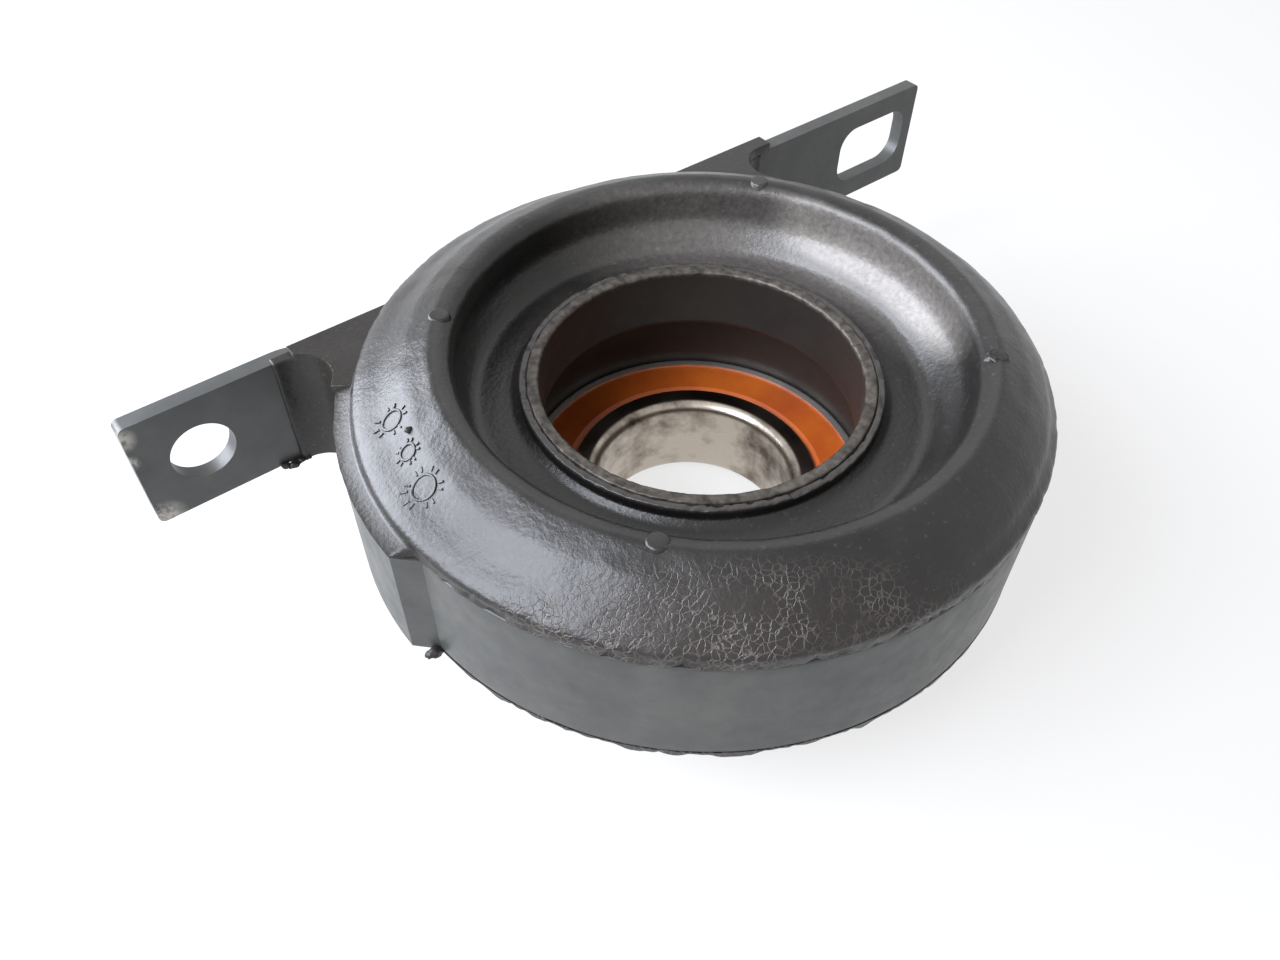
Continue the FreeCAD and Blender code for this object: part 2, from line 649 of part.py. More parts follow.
# Half of the cage: a flat ribbon that swells over each ball, with a rivet hole between the balls
domes = joined("cage_domes", "Part::MultiFuse",
               [ball_like("dome_%02d" % (n + 1), n, "dome_radius") for n in range(ball_count)])
swells = joined("cage_swells", "Part::MultiCommon", [domes, washer("cage_room", "dome_radius")])
ribbon = joined("cage_ribbon", "Part::MultiFuse", [washer("cage_flat", "cage_sheet"), swells])
pockets = [ball_like("pocket_%02d" % (n + 1), n, "pocket_radius") for n in range(ball_count)]
for n in range(ball_count):
    hole = disc("rivet_hole_%02d" % (n + 1), "rivet_hole_radius", "dome_radius")
    around(hole, n, "0.5", "pitch_radius")
    pockets.append(hole)
cage_upper_half = doc.addObject("Part::Cut", "cage_upper_half")
cage_upper_half.Base = ribbon
cage_upper_half.Tool = joined("cage_cuts", "Part::MultiFuse", pockets)

cage_lower_half = doc.addObject("Part::Mirroring", "cage_lower_half")
cage_lower_half.Source = cage_upper_half
cage_lower_half.Normal = FreeCAD.Vector(0, 0, 1)


def cage_rivet(number):
    """Make one cage rivet: a shank with a flat head on each half."""
    label = "rivet_%02d" % (number + 1)
    shank = disc(label + "_shank", "rivet_radius", "rivet_length", "-Sizes.cage_sheet")
    upper = disc(label + "_upper", "rivet_head", "rivet_head_height", "Sizes.cage_sheet")
    lower = disc(label + "_lower", "rivet_head", "rivet_head_height",
                 "-Sizes.cage_sheet - Sizes.rivet_head_height")
    for piece in (shank, upper, lower):
        around(piece, number, "0.5", "pitch_radius")
    return joined(label, "Part::MultiFuse", [shank, upper, lower])


cage_rivets = doc.addObject("Part::Compound", "cage_rivets")
cage_rivets.Links = [cage_rivet(n) for n in range(ball_count)]

doc.recompute()

NODES = [band_ring, left_bracket, right_bracket, rubber_cushion, hub_sleeve, bearing_outer_ring,
         bearing_inner_ring, upper_seal, lower_seal, cage_upper_half, cage_lower_half, cage_rivets] + balls

for thing in doc.Objects:
    if "Invalid" in thing.State or "Error" in thing.State:
        raise RuntimeError("%s failed: %s" % (thing.Label, thing.State))
for node in NODES:
    if node.Shape.isNull() or not node.Shape.isValid():
        raise RuntimeError("%s has no valid shape" % node.Label)
    print("%-20s solids %2d  volume %9.1f" % (node.Label, len(node.Shape.Solids), node.Shape.Volume))
for node in NODES:
    node.Shape.exportStep("parts/%s.step" % node.Label)
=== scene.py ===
"""Looks of a driveshaft centre bearing: a ball bearing in a rubber cushion, banded in steel, with two bolt ears."""

import logging
import math
from dataclasses import dataclass, field
from enum import Enum
from typing import Callable, Iterable, Sequence

import bmesh
import bpy
from mathutils import Matrix, Vector, noise


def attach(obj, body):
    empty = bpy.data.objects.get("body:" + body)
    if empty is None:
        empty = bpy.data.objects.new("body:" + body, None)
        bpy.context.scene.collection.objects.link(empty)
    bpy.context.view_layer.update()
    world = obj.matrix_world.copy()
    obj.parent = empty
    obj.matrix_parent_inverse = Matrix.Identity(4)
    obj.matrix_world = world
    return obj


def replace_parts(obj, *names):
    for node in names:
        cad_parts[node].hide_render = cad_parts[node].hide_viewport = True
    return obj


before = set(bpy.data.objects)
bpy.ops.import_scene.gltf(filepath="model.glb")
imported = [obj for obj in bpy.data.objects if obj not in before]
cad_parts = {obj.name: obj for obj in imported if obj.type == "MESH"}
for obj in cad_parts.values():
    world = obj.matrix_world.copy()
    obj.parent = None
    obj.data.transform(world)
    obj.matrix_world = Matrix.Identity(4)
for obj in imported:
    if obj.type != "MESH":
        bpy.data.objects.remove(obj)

LOG = logging.getLogger("centre_bearing")
MM = 0.001

Point = tuple[float, float]
Spot = tuple[float, float, float]
Shift = Callable[[Vector], Vector]
Inputs = dict | Sequence
Material = bpy.types.Material
Node = bpy.types.Node
Tree = bpy.types.NodeTree


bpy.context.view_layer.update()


class Body(Enum):
    """The rigid bodies that pieces ride on."""

    HOUSING = "housing"
    INNER_RACE = "inner_race"
    BALL_CAGE = "ball_cage"


class Slot(Enum):
    """The record's material slots."""

    PAINTED_STEEL = "painted_steel"
    CUSHION_RUBBER = "cushion_rubber"
    SLEEVE_STEEL = "sleeve_steel"
    GROUND_STEEL = "ground_steel"
    POLISHED_STEEL = "polished_steel"
    CAGE_STEEL = "cage_steel"
    SEAL_RUBBER = "seal_rubber"


def linear(code: str) -> tuple[float, float, float, float]:
    """Turn an sRGB hex colour into linear RGBA.

    Args:
        code: Six hex digits, with or without a hash sign.

    Returns:
        The linear colour with an alpha of one.
    """
    digits = code.lstrip("#")
    channels = [int(digits[i:i + 2], 16) / 255 for i in (0, 2, 4)]
    return (*[c / 12.92 if c <= 0.04045 else ((c + 0.055) / 1.055) ** 2.4 for c in channels], 1.0)


def set_inputs(tree: Tree, node: Node, inputs: Inputs) -> None:
    """Set or link a node's inputs.

    Args:
        tree: The tree that holds the node.
        node: The node whose inputs are set.
        inputs: Values in order, or by input name or index. Each is a plain value, an output socket, or a node
            whose first live output is meant.
    """
    for key, value in inputs.items() if isinstance(inputs, dict) else enumerate(inputs):
        if isinstance(value, Node):
            value = next(socket for socket in value.outputs if socket.enabled)
        if isinstance(value, bpy.types.NodeSocket):
            tree.links.new(value, node.inputs[key])
        else:
            node.inputs[key].default_value = value


def add_node(tree: Tree, kind: str, inputs: Inputs = (), **settings) -> Node:
    """Add one shader node with its settings, input values and links.

    Args:
        tree: The node tree that gets the node.
        kind: The node's type name, without the ShaderNode that all of them start with.
        inputs: What the node's inputs take, as in set_inputs.
        **settings: Properties of the node itself.

    Returns:
        The new node.
    """
    node = tree.nodes.new("ShaderNode" + kind)
    for name, value in settings.items():
        setattr(node, name, value)
    set_inputs(tree, node, inputs)
    return node


def object_place(tree: Tree) -> Node:
    """Return Object coordinates in millimetres."""
    place = add_node(tree, "TexCoord").outputs["Object"]
    return add_node(tree, "VectorMath", {0: place, "Scale": 1 / MM}, operation="SCALE")


def axis_distance(tree: Tree, place: Node) -> Node:
    """Return a place's distance from the shaft axis."""
    flat = add_node(tree, "VectorMath", [place, (1, 1, 0)], operation="MULTIPLY")
    return add_node(tree, "VectorMath", [flat], operation="LENGTH")


def patches(tree: Tree, place: Node, size_mm: float, span: Point,
            shares: Point = (0.0, 1.0), detail: float = 4.0, rough: float = 0.55) -> Node:
    """Return a share that comes and goes in soft-edged random patches.

    Args:
        tree: The node tree that gets the nodes.
        place: The place in millimetres.
        size_mm: The width of the largest patches.
        span: The noise values at which the share starts and is full.
        shares: The shares at those two values.
        detail: How many finer layers the noise has.
        rough: How strong the finer layers are.

    Returns:
        The node that gives the share.
    """
    made = add_node(tree, "TexNoise", {"Vector": place, "Scale": 1 / size_mm, "Detail": detail, "Roughness": rough})
    return add_node(tree, "MapRange", [made, *span, *shares])


def rim_share(tree: Tree, place: Node) -> Node:
    """Return how far a place lies on the collar's cut rim."""
    height = add_node(tree, "SeparateXYZ", [place]).outputs["Z"]
    high = add_node(tree, "MapRange", [height, 32.1, 32.6])
    near = add_node(tree, "MapRange", [axis_distance(tree, place), 30.8, 30.1])
    return add_node(tree, "Math", [high, near], operation="MULTIPLY")


def backdrop_share(tree: Tree) -> Node:
    """Return 1 for rays that show the background: the camera's own, and those seen in metal or glass."""
    path = add_node(tree, "LightPath").outputs
    seen = add_node(tree, "Math", [path["Is Camera Ray"], path["Is Glossy Ray"]], operation="MAXIMUM")
    return add_node(tree, "Math", [seen, path["Is Transmission Ray"]], operation="MAXIMUM")


def new_material(name: str) -> tuple[Material, Tree, Node]:
    """Make a material with one principled shader, and return it with its tree and shader."""
    material = bpy.data.materials.new(name)
    material.use_nodes = True
    return material, material.node_tree, material.node_tree.nodes["Principled BSDF"]


@dataclass(frozen=True)
class PaintedSteel:
    """Hot-rolled strip under thin black paint: satin, slightly mottled, with bare steel where it has rubbed.

    The eye reads a flat dark film that catches the light along its rounded edges.
    """

    name: str = "black painted steel"
    paint: str = "#383938"
    worn_paint: str = "#464744"
    steel: str = "#a5a199"
    dust: str = "#5e5c54"
    bare_spots: tuple[tuple[Spot, float], ...] = (
        ((-80.5, 45.5, 29.5), 2.8), ((-79.5, 45.5, 10.5), 4.2), ((-80.6, 45.5, 24.5), 1.8))
    bare_core: float = 0.35

    def build(self) -> Material:
        """Return the painted steel."""
        material, tree, shader = new_material(self.name)
        place = object_place(tree)
        mottle = patches(tree, place, 9.0, (0.35, 0.7), detail=6.0, rough=0.6)
        film = patches(tree, place, 26.0, (0.55, 0.78), (0.0, 0.45), 5.0, 0.7)
        scuff = add_node(tree, "VectorMath", [place, (0.12, 1.0, 1.6)], operation="MULTIPLY")
        streaks = add_node(tree, "TexNoise", {"Vector": scuff, "Scale": 1 / 2.0, "Detail": 7.0, "Roughness": 0.65})
        bare = self.bare_share(tree, place, streaks)
        colour = linear(self.paint)
        for share, tone in ((mottle, self.worn_paint), (film, self.dust), (bare, self.steel)):
            colour = add_node(tree, "Mix", {0: share, 6: colour, 7: linear(tone)}, data_type="RGBA")
        metal = add_node(tree, "Math", [bare, 0.9], operation="MULTIPLY")
        rough = patches(tree, place, 3.0, (0.3, 0.7), (0.36, 0.5), 5.0, 0.6)
        pores = add_node(tree, "TexNoise", {"Vector": place, "Scale": 1 / 0.9, "Detail": 4.0, "Roughness": 0.6})
        skin = add_node(tree, "Bump", {"Height": pores, "Strength": 0.35, "Distance": 0.05 * MM})
        normal = add_node(tree, "Bump", {"Height": streaks, "Strength": 0.25, "Distance": 0.05 * MM, "Normal": skin})
        set_inputs(tree, shader, {"Base Color": colour, "Metallic": metal, "Roughness": rough, "Normal": normal})
        return material

    def bare_share(self, tree: Tree, place: Node, streaks: Node) -> Node:
        """Return where the paint has gone: ragged patches at the left ear's outer corners, and light scuffs."""
        corners = 0.0
        for centre, reach in self.bare_spots:
            gap = add_node(tree, "VectorMath", [place, centre], operation="DISTANCE")
            near = add_node(tree, "MapRange", [gap, reach, reach * self.bare_core])
            corners = add_node(tree, "Math", [corners, near], operation="MAXIMUM")
        broken = patches(tree, place, 1.6, (0.38, 0.55), detail=6.0, rough=0.75)
        worn = add_node(tree, "Math", [corners, broken], operation="MULTIPLY")
        scuffs = add_node(tree, "MapRange", [streaks, 0.74, 0.8, 0.0, 0.35])
        return add_node(tree, "Math", [worn, scuffs], operation="MAXIMUM")


@dataclass(frozen=True)
class CushionRubber:
    """Compression-moulded natural rubber with age: satin black, dust in the pores, fine crackle where it bows.

    The eye reads a dark sheen that breaks into grain and a net of hairline cracks along the front of the cone.
    """

    name: str = "moulded natural rubber"
    rubber: str = "#141312"
    bloom: str = "#23211f"
    cut: str = "#4a4540"
    # Pale dust in the bowl, and with it a painted sheen on the lit right wall and back ledge.
    powder_and_sheen: str = "#a7a19a"
    dust: str = "#6a625a"
    lint: str = "#a8a49c"
    crackled: str = "#241c1a"
    crack: str = "#8b847a"
    crackle_mm: float = 1.15
    net: bool = True
    ior: float = 1.35
    coat: float = 0.3
    coat_ior: float = 1.6
    coat_roughness: float = 0.33
    grain_mm: float = 0.75
    grain_depth: float = 0.08

    def build(self) -> Material:
        """Return the rubber."""
        material, tree, shader = new_material(self.name)
        place = object_place(tree)
        cloud = add_node(tree, "TexNoise", {"Vector": place, "Scale": 1 / 22.0, "Detail": 6.0, "Roughness": 0.62})
        fine = add_node(tree, "TexNoise", {"Vector": place, "Scale": 1 / 1.1, "Detail": 6.0, "Roughness": 0.7})
        dust_and_sheen_breakup = add_node(tree, "MapRange", [fine, 0.35, 0.65, 0.45, 0.8])
        chalky = add_node(tree, "MapRange", [fine, 0.3, 0.7, 0.25, 0.6])
        # The bowl's pale layer is dust and painted sheen together.
        layers = [(add_node(tree, "MapRange", [cloud, 0.4, 0.68]), self.bloom),
                  (add_node(tree, "MapRange", [fine, 0.6, 0.74, 0.0, 0.5]), self.dust),
                  (patches(tree, place, 0.55, (0.8, 0.84), (0.0, 0.8), 2.0, 0.5), self.lint),
                  (add_node(tree, "Math", [self.bowl_dust_and_sheen_share(tree, place), dust_and_sheen_breakup], operation="MULTIPLY"), self.powder_and_sheen),
                  (add_node(tree, "Math", [rim_share(tree, place), chalky], operation="MULTIPLY"), self.cut)]
        pores = add_node(tree, "TexNoise",
                         {"Vector": place, "Scale": 1 / self.grain_mm, "Detail": 2.5, "Roughness": 0.6})
        swells = add_node(tree, "TexNoise", {"Vector": place, "Scale": 1 / 4.0, "Detail": 2.0, "Roughness": 0.5})
        normal = add_node(tree, "Bump", {"Height": pores, "Strength": 1.0, "Distance": self.grain_depth * MM})
        normal = add_node(tree, "Bump", {"Height": swells, "Strength": 0.3, "Distance": 0.25 * MM, "Normal": normal})
        if self.net:
            front = self.front_share(tree, place)
            net = add_node(tree, "Math", [self.cracks(tree, place), front], operation="MULTIPLY")
            layers += [(add_node(tree, "Math", [front, 0.5], operation="MULTIPLY"), self.crackled),
                       (add_node(tree, "Math", [net, 0.3], operation="MULTIPLY"), self.crack)]
            whole = add_node(tree, "Math", [1.0, net], operation="SUBTRACT")
            normal = add_node(tree, "Bump", {"Height": whole, "Strength": 0.6, "Distance": 0.14 * MM, "Normal": normal})
        colour = linear(self.rubber)
        for share, tone in layers:
            colour = add_node(tree, "Mix", {0: share, 6: colour, 7: linear(tone)}, data_type="RGBA")
        uneven = add_node(tree, "Math", [fine, cloud], operation="ADD")
        rough = add_node(tree, "MapRange", [uneven, 0.7, 1.3, 0.3, 0.46])
        set_inputs(tree, shader, {"Base Color": colour, "Roughness": rough, "Normal": normal, "Coat Normal": normal,
                                  "IOR": self.ior, "Coat Weight": self.coat, "Coat IOR": self.coat_ior,
                                  "Coat Roughness": self.coat_roughness})
        return material

    def bowl_dust_and_sheen_share(self, tree: Tree, place: Node) -> Node:
        """Return where the bowl is paler, on the side away from the left window: partly settled dust, partly painted
        sheen where the windows light its wall and back ledge.
        """
        split = add_node(tree, "SeparateXYZ", [place]).outputs
        reach = axis_distance(tree, place)
        inside = [add_node(tree, "MapRange", [reach, 43.5, 41.0]), add_node(tree, "MapRange", [reach, 32.0, 34.0])]
        wall = [add_node(tree, "MapRange", [split["X"], 33.0, 38.0]),
                add_node(tree, "MapRange", [split["Z"], 30.5, 32.5])]
        along = add_node(tree, "VectorMath", [place, (0.866, 0.5, 0.0)], operation="DOT_PRODUCT")
        both = [add_node(tree, "Math", wall, operation="MULTIPLY"),
                add_node(tree, "MapRange", [along, 17.0, 33.0, 0.0, 0.35])]
        near = add_node(tree, "Math", inside, operation="MULTIPLY")
        dust_and_sheen_side = add_node(tree, "Math", both, operation="MAXIMUM")
        return add_node(tree, "Math", [near, dust_and_sheen_side], operation="MULTIPLY")

    def front_share(self, tree: Tree, place: Node) -> Node:
        """Return how far a place lies on the cone's front, away from the ears, where the crackle shows."""
        out = add_node(tree, "MapRange", [axis_distance(tree, place), 42.0, 45.0])
        towards = add_node(tree, "VectorMath", [place, (-0.57, -0.82, 0.0)], operation="DOT_PRODUCT")
        near = add_node(tree, "MapRange", [towards, 44.5, 50.5])
        return add_node(tree, "Math", [out, near], operation="MULTIPLY")

    def cracks(self, tree: Tree, place: Node) -> Node:
        """Return a net of hairline cracks about crackle_mm apart."""
        warp = add_node(tree, "TexNoise", {"Vector": place, "Scale": 0.5, "Detail": 3.0}).outputs["Color"]
        shift = add_node(tree, "VectorMath", [warp, (1.6, 1.6, 1.6)], operation="MULTIPLY")
        moved = add_node(tree, "VectorMath", [place, shift], operation="ADD")
        cells = add_node(tree, "TexVoronoi", {"Vector": moved, "Scale": 1 / self.crackle_mm},
                         feature="DISTANCE_TO_EDGE")
        lines = add_node(tree, "MapRange", [cells, 0.09, 0.02])
        return add_node(tree, "Math", [lines, patches(tree, place, 7.0, (0.38, 0.55), detail=3.0)],
                        operation="MULTIPLY")


@dataclass(frozen=True)
class BareMetal:
    """Steel worked smooth, with its own lay, tint and stains.

    The eye reads a metal whose gloss runs round the part, dulled by oil and handling.
    """

    name: str
    steel: str
    stain: str
    roughness: float
    spread: float = 0.1
    stain_mm: float = 8.0
    stain_share: float = 0.6
    lay_mm: float = 0.35
    metallic: float = 1.0
    dark_from: float = 0.0
    dark: str = "#4c443e"
    rim: str = ""

    def build(self) -> Material:
        """Return the steel."""
        material, tree, shader = new_material(self.name)
        place = object_place(tree)
        reach = axis_distance(tree, place)
        stains = patches(tree, place, self.stain_mm, (0.45, 0.7), (0.0, self.stain_share), 6.0, 0.65)
        layers = [(stains, self.stain)]
        if self.dark_from:
            layers.append((add_node(tree, "MapRange", [reach, self.dark_from, self.dark_from + 0.4]), self.dark))
        if self.rim:
            torn = patches(tree, place, 1.4, (0.35, 0.65), detail=5.0)
            layers.append((add_node(tree, "Math", [rim_share(tree, place), torn], operation="MULTIPLY"), self.rim))
        colour = linear(self.steel)
        for share, tone in layers:
            colour = add_node(tree, "Mix", {0: share, 6: colour, 7: linear(tone)}, data_type="RGBA")
        lay = self.turned_lay(tree, place, reach)
        worn = add_node(tree, "Math", [lay, stains], operation="ADD")
        rough = add_node(tree, "MapRange", [worn, 0.2, 1.2, self.roughness, self.roughness + self.spread])
        normal = add_node(tree, "Bump", {"Height": lay, "Strength": 0.12, "Distance": 0.03 * MM})
        set_inputs(tree, shader, {"Base Color": colour, "Metallic": self.metallic, "Roughness": rough,
                                  "Normal": normal})
        return material

    def turned_lay(self, tree: Tree, place: Node, reach: Node) -> Node:
        """Return fine lines that run round the shaft axis, as turning leaves them."""
        height = add_node(tree, "SeparateXYZ", [place]).outputs["Z"]
        across = add_node(tree, "CombineXYZ", [reach, height])
        return add_node(tree, "TexNoise",
                        {"Vector": across, "Scale": 1 / self.lay_mm, "Detail": 3.0, "Roughness": 0.6})


@dataclass(frozen=True)
class SealRubber:
    """Nitrile rubber over a steel insert: dense, orange-brown, satin, darkened by grease.

    The eye reads a saturated, even colour with a soft highlight round the ring.
    """

    name: str = "nitrile seal rubber"
    bright: str = "#c46019"
    dark: str = "#a8481a"
    grease: str = "#5a2c12"

    def build(self) -> Material:
        """Return the seal rubber."""
        material, tree, shader = new_material(self.name)
        place = object_place(tree)
        cloud = patches(tree, place, 12.0, (0.42, 0.72), detail=5.0, rough=0.6)
        grease = patches(tree, place, 2.5, (0.66, 0.76), (0.0, 0.6), 5.0, 0.7)
        colour = linear(self.bright)
        for share, tone in ((cloud, self.dark), (grease, self.grease)):
            colour = add_node(tree, "Mix", {0: share, 6: colour, 7: linear(tone)}, data_type="RGBA")
        pores = add_node(tree, "TexNoise", {"Vector": place, "Scale": 1 / 0.8, "Detail": 3.0, "Roughness": 0.55})
        normal = add_node(tree, "Bump", {"Height": pores, "Strength": 0.2, "Distance": 0.04 * MM})
        set_inputs(tree, shader, {"Base Color": colour, "Roughness": 0.42, "Normal": normal})
        return material


# Thin flash over the bends, handled and dull: the eye reads a greyer skin that catches less light than the ring.
WEB_RUBBER = CushionRubber("dusty rubber flash", "#201e1b", "#2e2b28", powder_and_sheen="#2e2b28", net=False, coat=0.05)
# Deep-drawn strip under rust and old grease: a dark brown wall with a weak gloss, paler where it was sheared.
SLEEVE_STEEL = BareMetal("drawn steel with rust film", "#2f2b28", "#211d1b", 0.4, 0.16, 12.0, 0.7, 0.8, 0.45,
                         rim="#5a544d")
# Ring ground on its faces: bright grey, with fine lines that run round it.
GROUND_STEEL = BareMetal("ground bearing steel", "#d4d2cd", "#a39b8f", 0.36, 0.16, 9.0, 0.45)
# Honed bore stained by oil, its face darker past radius 19 mm by the chamfer: bright metal with brown clouds.
RACE_STEEL = BareMetal("honed race steel", "#c2b8ac", "#43352b", 0.24, 0.16, 11.0, 0.9, dark_from=19.0)
# Lapped steel: a mirror.
BALL_STEEL = BareMetal("polished ball steel", "#d8d8d8", "#b8b6b2", 0.06, 0.05, 5.0, 0.3)
# Pressed and tumbled strip: plain grey with a soft gloss.
CAGE_STEEL = BareMetal("pressed cage steel", "#a8a49c", "#8a857c", 0.3, 0.12, 6.0, 0.4)


@dataclass
class Finishes:
    """Builds every material once."""

    paint: Material = field(default_factory=lambda: PaintedSteel().build())
    rubber: Material = field(default_factory=lambda: CushionRubber().build())
    web: Material = field(default_factory=WEB_RUBBER.build)
    sleeve: Material = field(default_factory=SLEEVE_STEEL.build)
    ground: Material = field(default_factory=GROUND_STEEL.build)
    race: Material = field(default_factory=RACE_STEEL.build)
    ball: Material = field(default_factory=BALL_STEEL.build)
    cage: Material = field(default_factory=CAGE_STEEL.build)
    seal: Material = field(default_factory=lambda: SealRubber().build())


def clamped(value: float) -> float:
    """Return a value held between 0 and 1."""
    return min(1.0, max(0.0, value))


def arc_points(centre: Point, radius: float, start: float, end: float, count: int) -> list[Point]:
    """Divide an arc into equal steps.

    Args:
        centre: The arc's centre.
        radius: Its radius.
        start: The angle of its first point in degrees.
        end: The angle of its last point in degrees.
        count: The number of steps.

    Returns:
        The count + 1 points along the arc.
    """
    turns = [math.radians(start + (end - start) * n / count) for n in range(count + 1)]
    return [(centre[0] + radius * math.cos(t), centre[1] + radius * math.sin(t)) for t in turns]


def filleted(points: Sequence[Point], radii: Sequence[float], pitch: float) -> list[Point]:
    """Round a closed outline's corners and divide its long runs.

    Args:
        points: The outline's corners in order.
        radii: One rounding radius for each corner.
        pitch: The longest step between two points that come out.

    Returns:
        The points of the rounded outline.
    """
    made: list[Vector] = []
    count = len(points)
    for n, radius in enumerate(radii):
        here = Vector(points[n])
        back = Vector(points[n - 1]) - here
        ahead = Vector(points[(n + 1) % count]) - here
        angle = back.angle(ahead)
        if radius <= 0 or angle > math.pi - 0.02:
            made.append(here)
            continue
        cut = min(radius / math.tan(angle / 2), back.length * 0.49, ahead.length * 0.49)
        radius = cut * math.tan(angle / 2)
        centre = here + (back.normalized() + ahead.normalized()).normalized() * radius / math.sin(angle / 2)
        first = here + back.normalized() * cut - centre
        sweep = first.angle_signed(here + ahead.normalized() * cut - centre)
        parts = max(2, math.ceil(radius * abs(sweep) / min(pitch, max(radius * 0.35, 0.08))))
        for k in range(parts + 1):
            turned = first.copy()
            turned.rotate(Matrix.Rotation(-sweep * k / parts, 2))
            made.append(centre + turned)
    full: list[Point] = []
    for n, here in enumerate(made):
        ahead = made[(n + 1) % len(made)]
        parts = max(1, math.ceil((ahead - here).length / pitch))
        full += [tuple(here.lerp(ahead, k / parts)) for k in range(parts)]
    return full


def in_metres(work: bmesh.types.BMesh) -> None:
    """Scale a bmesh drawn in millimetres to metres."""
    bmesh.ops.scale(work, vec=(MM, MM, MM), verts=work.verts)


def finished(work: bmesh.types.BMesh, name: str, material: Material, body: Body,
             sharp: float = 40.0) -> bpy.types.Object:
    """Turn a bmesh in millimetres into a dressed piece that rides on its body.

    Args:
        work: The piece's bmesh, freed here.
        name: The piece's name.
        material: Its finish.
        body: The body that it rides on.
        sharp: The angle in degrees past which an edge stays sharp.

    Returns:
        The new object.
    """
    bmesh.ops.remove_doubles(work, verts=work.verts, dist=0.001)
    bmesh.ops.recalc_face_normals(work, faces=work.faces)
    in_metres(work)
    mesh = bpy.data.meshes.new(name)
    work.to_mesh(mesh)
    work.free()
    mesh.shade_smooth()
    mesh.set_sharp_from_angle(angle=math.radians(sharp))
    mesh.materials.append(material)
    piece = bpy.data.objects.new(name, mesh)
    bpy.context.scene.collection.objects.link(piece)
    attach(piece, body.value)
    LOG.info("%s: %d faces", name, len(mesh.polygons))
    return piece


def turned(outline: Iterable[Point], steps_round: int, shift: Shift | None = None) -> bmesh.types.BMesh:
    """Turn a closed outline of radius and height about the shaft axis.

    Args:
        outline: The points of the section, in order.
        steps_round: How many steps make the full turn.
        shift: Moves each point of the result, if given.

    Returns:
        The turned bmesh, in millimetres.
    """
    work = bmesh.new()
    ring = [work.verts.new((r, 0.0, z)) for r, z in outline]
    edges = [work.edges.new((a, b)) for a, b in zip(ring, ring[1:] + ring[:1])]
    bmesh.ops.spin(work, geom=ring + edges, cent=(0, 0, 0), axis=(0, 0, 1), angle=math.tau,
                   steps=steps_round, use_merge=True)
    if shift is not None:
        for vert in work.verts:
            vert.co = shift(vert.co)
    return work


def raised(outline: Sequence[Point], low: float, high: float, rounding: float = 0.3,
           parts: int = 2) -> bmesh.types.BMesh:
    """Raise a plan outline into a prism and round its rims.

    Args:
        outline: The plan's points, in order.
        low: The lower face's height.
        high: The upper face's height.
        rounding: How far the rims are rounded.
        parts: Faces across the rounding.

    Returns:
        The prism's bmesh, in millimetres.
    """
    work = bmesh.new()
    face = work.faces.new([work.verts.new((x, y, low)) for x, y in outline])
    made = bmesh.ops.extrude_face_region(work, geom=[face])
    moved = [v for v in made["geom"] if isinstance(v, bmesh.types.BMVert)]
    bmesh.ops.translate(work, vec=(0, 0, high - low), verts=moved)
    bmesh.ops.recalc_face_normals(work, faces=work.faces)
    if rounding > 0:
        rims = [e for e in work.edges if e.is_manifold and e.calc_face_angle() > math.radians(35)]
        bmesh.ops.bevel(work, geom=rims, offset=rounding, segments=parts, profile=0.5, affect="EDGES",
                        material=-1, clamp_overlap=True)
        flats = [f for f in work.faces if abs(f.normal.z) > 0.999 and len(f.verts) > 8]
        bmesh.ops.inset_individual(work, faces=flats, thickness=0.1, use_even_offset=True)
    return work


def ragged(place: Vector, size_mm: float, depth: float, seed: float = 0.0) -> float:
    """Return a smooth random number for a place.

    Args:
        place: The place in millimetres.
        size_mm: The distance over which the number changes.
        depth: Its size; it stays about between minus depth and depth.
        seed: Sets one use apart from another.

    Returns:
        The number.
    """
    return noise.fractal(place / size_mm + Vector((seed, 0, 0)), 1.0, 2.0, 3) * depth


